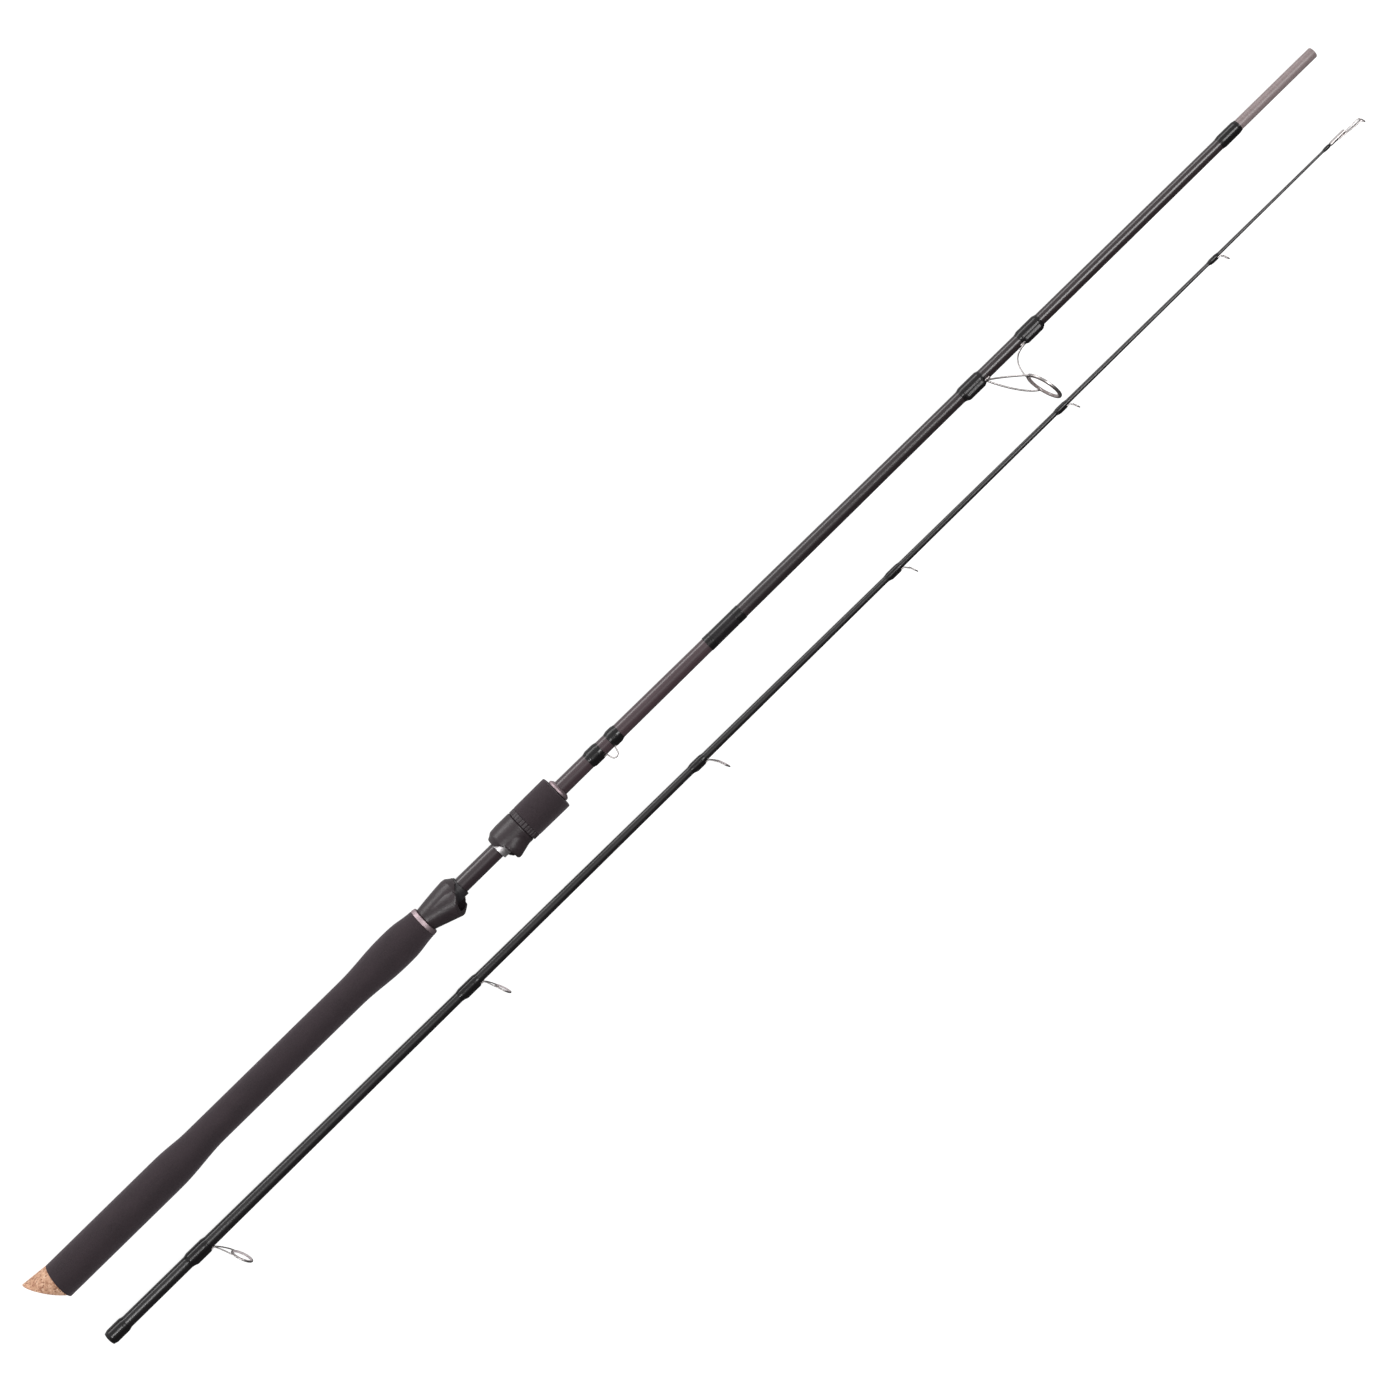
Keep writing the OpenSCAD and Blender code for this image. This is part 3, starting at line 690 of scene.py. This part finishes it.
def make_wrap(node, material, segments=72):
    """Turns of thread under varnish, over the blank and any guide foot."""
    pitch, per_turn, ripple = 0.4, 3, 0.012
    end_gap, easing = 0.04, 0.6
    axis = axis_of(node)
    start, end = span(node)
    count = int((end - start) / pitch * per_turn)
    places = np.linspace(start + end_gap, end - end_gap, count)
    radii = smoothed(surface_radii(node, places, segments), 6, 2.0)
    inner = profiles(node)[1]
    turn = np.array(angles(segments))
    rings = []
    for place, row in zip(places, radii):
        ease = min(1, (place - start) / easing, (end - place) / easing)
        wave = ripple * np.cos(2 * math.pi * place / pitch - turn)
        rings.append([axis.point(place, rr + w * ease, a) for rr, w, a in zip(row, wave, turn)])
    for place, bore in ((end, inner[-1][1]), (start, inner[0][1])):
        rings.append([axis.point(place, bore, a) for a in turn])
    obj = through_rings(node + "_piece", rings, loop=True, sharp_angle=60)
    stands_for(obj, node, material)


# ---- guides ----


def make_ring(node, material, segments=128, around=24):
    """A ceramic ring's insert, on the centre and lean that its CAD node has."""
    sweep = 1.9
    points = vertices(node)
    centre = box_centre(points)
    _, _, directions = np.linalg.svd(points - centre, full_matrices=False)
    normal = directions[2]
    centre = centre + np.mean((points - centre) @ normal) * normal
    local = points - centre
    height = local @ normal
    radius = np.linalg.norm(local - np.outer(height, normal), axis=1)
    half = abs(height).max()
    crown = radius.min() + half
    outline = [(min(crown - half * math.cos(t), radius.max()), half * math.sin(t))
               for t in np.linspace(-sweep, sweep, around)]
    first = Vector(directions[0])
    second = Vector(np.cross(normal, directions[0]))
    normal = Vector(normal)
    centre = Vector(centre)
    rings = [[centre + (first * math.cos(a) + second * math.sin(a)) * r + normal * h
              for a in angles(segments)] for r, h in outline]
    obj = through_rings(node + "_piece", rings, loop=True, sharp_angle=60)
    stands_for(obj, node, material)


def make_frame(node, material, voxel):
    stands_for(refined(node, voxel, 2), node, material)


# ---- camera, light and floor ----


def make_camera():
    """Straight above the rod, turned so that the sections run from lower left to upper right."""
    height, turn, field = 2.27, -44.37, 0.9744
    centre_x, centre_y = 0.0005, 0.0115
    data = bpy.data.cameras.new("camera")
    data.sensor_width = 36
    data.lens = data.sensor_width * height / field
    camera = bpy.data.objects.new("camera", data)
    camera.location = (centre_x, centre_y, middle("male_ferrule").z + height)
    camera.rotation_euler = (0, 0, math.radians(turn))
    bpy.context.scene.collection.objects.link(camera)
    bpy.context.scene.camera = camera


def add_softbox(name, place, target, size, radiance):
    """A rectangular light that faces target, as bright as radiance at its surface."""
    data = bpy.data.lights.new(name, "AREA")
    data.shape = "RECTANGLE"
    data.size, data.size_y = size
    data.energy = radiance * size[0] * size[1] * math.pi
    light = bpy.data.objects.new(name, data)
    light.location = place
    light.rotation_euler = (Vector(target) - Vector(place)).to_track_quat("-Z", "Y").to_euler()
    bpy.context.scene.collection.objects.link(light)


def make_lights():
    """Soft light from the side away from the guides, long strips overhead, whose reflections run
    along the blanks, and two small bright lamps that glint on the ends of the bindings."""
    add_softbox("key", (0, 3.1, 1.0), (0, 0, 0), (3.6, 1.2), 4.4)
    height, width, spark_size = 2.75, 1.3, (0.3, 0.5)
    for name, start, end, place, radiance in (("strip_rear", -1.7, -1.1, -0.05, 7.0),
                                              ("strip_middle", -1.05, 0.5, -0.4, 0.5),
                                              ("strip_front", 0.6, 1.7, -0.5, 9.0)):
        x = (start + end) / 2
        add_softbox(name, (x, place, height), (x, place, 0), (end - start, width), radiance)
    for name, x in (("spark_rear", -1.6), ("spark_front", 1.78)):
        add_softbox(name, (x, -0.35, height), (x / 3, 0, 0), spark_size, 28)


def make_world():
    """White to the camera; as a light, bright on the far side and darker on the guides' side."""
    bright, dark = 0.75, 0.1
    world = bpy.data.worlds.new("studio")
    bpy.context.scene.world = world
    world.use_nodes = True
    tree = world.node_tree
    tree.nodes.clear()
    coords = tree.nodes.new("ShaderNodeTexCoord")
    split = tree.nodes.new("ShaderNodeSeparateXYZ")
    side = tree.nodes.new("ShaderNodeMapRange")
    side.interpolation_type = "SMOOTHSTEP"
    side.inputs["From Min"].default_value = -0.25
    side.inputs["From Max"].default_value = 0.6
    side.inputs["To Min"].default_value = dark
    side.inputs["To Max"].default_value = bright
    seen = tree.nodes.new("ShaderNodeLightPath")
    light = tree.nodes.new("ShaderNodeBackground")
    white = tree.nodes.new("ShaderNodeBackground")
    white.inputs["Color"].default_value = (1, 1, 1, 1)
    both = tree.nodes.new("ShaderNodeMixShader")
    output = tree.nodes.new("ShaderNodeOutputWorld")
    tree.links.new(coords.outputs["Generated"], split.inputs[0])
    tree.links.new(split.outputs["Y"], side.inputs["Value"])
    tree.links.new(side.outputs["Result"], light.inputs["Strength"])
    tree.links.new(seen.outputs["Is Camera Ray"], both.inputs[0])
    tree.links.new(light.outputs[0], both.inputs[1])
    tree.links.new(white.outputs[0], both.inputs[2])
    tree.links.new(both.outputs[0], output.inputs["Surface"])


def make_floor():
    half = 6
    corners = [(-half, -half, 0), (half, -half, 0), (half, half, 0), (-half, half, 0)]
    floor = add_object("floor", corners, [(0, 1, 2, 3)])
    floor.data.materials.append(white_floor())
    floor.visible_glossy = False


# ---- the rod ----


def make_butt_section(wrap, steel):
    metal, eva = trim_metal(), foam()
    plastic = moulded("seat_plastic", (0.022, 0.0155, 0.018), (0.032, 0.023, 0.0265), (0.32, 0.44))
    barrel = moulded("barrel_plastic", (0.016, 0.014, 0.016), (0.024, 0.021, 0.024))
    nut = moulded("nut_plastic", (0.0255, 0.0185, 0.0215), (0.036, 0.0265, 0.0305), (0.42, 0.52))
    shades = ((0, (0.03, 0.0195, 0.0235)),
              (0.2, (0.068, 0.041, 0.048)),
              (0.31, (0.062, 0.037, 0.043)),
              (0.36, (0.02, 0.0135, 0.0155)),
              (0.7, (0.022, 0.0135, 0.0155)),
              (1, (0.026, 0.0165, 0.0185)))
    make_cap(cork())
    make_rear_grip(eva)
    make_sleeve("rear_trim_ring", metal, 0.3)
    make_butt_blank(clear_coated("butt_blank", shades, -200, 560, 0.75))
    make_male_ferrule(ground_ferrule())
    make_hood("rear_hood", plastic)
    make_sleeve("rear_hood_saddle", barrel, 0.3)
    make_barrel(barrel)
    make_hood("moving_hood", plastic)
    make_sleeve("moving_hood_saddle", brushed_steel(), 0.3)
    make_nut(nut)
    make_sleeve("foregrip", eva, 1.0)
    make_sleeve("winding_check", metal, 0.3)
    make_sleeve("label_trim_rear", wrap, 0.12)
    make_sleeve("label_panel", label_panel(), 0.12)
    make_sleeve("label_trim_front", wrap, 0.12)
    make_frame("keeper_loop", steel, 0.1)
    for node in ("ferrule_wrap", "keeper_wrap_rear", "keeper_wrap_front", "stripper_wrap_rear",
                 "stripper_wrap_front"):
        make_wrap(node, wrap)
    make_frame("stripper_frame", steel, 0.16)
    make_ring("stripper_ring", ceramic())


def make_tip_section(wrap, steel):
    """Its rings wear the frame's plain material named ceramic, which is lighter than ceramic()."""
    insert = bpy.data.materials["ceramic"]
    # painted highlight: the tip blank's tone lightens towards its thin end, standing in for the
    # highlight that spreads across the narrowing blank
    shades = ((0, (0.0075, 0.006, 0.007)),
              (0.7, (0.0105, 0.009, 0.0098)),
              (1, (0.03, 0.026, 0.027)))
    make_tip_blank(clear_coated("tip_blank", shades, -600, 600, 0.6))
    make_wrap("socket_wrap", wrap)
    make_wrap("tip_top_wrap", wrap, 48)
    make_frame("tip_top_frame", steel, 0.1)
    make_ring("tip_top_ring", insert, 64, 16)
    for number in range(2, 8):
        guide = f"guide_{number}_"
        make_frame(guide + "frame", steel, 0.12 if number < 5 else 0.09)
        make_ring(guide + "ring", insert, 96, 20)
        make_wrap(guide + "wrap", wrap, 64)


def main():
    bpy.context.scene.view_settings.view_transform = "Standard"
    make_camera()
    make_world()
    make_lights()
    make_floor()
    wrap, steel = varnished_thread(), polished_steel()
    make_butt_section(wrap, steel)
    make_tip_section(wrap, steel)


main()
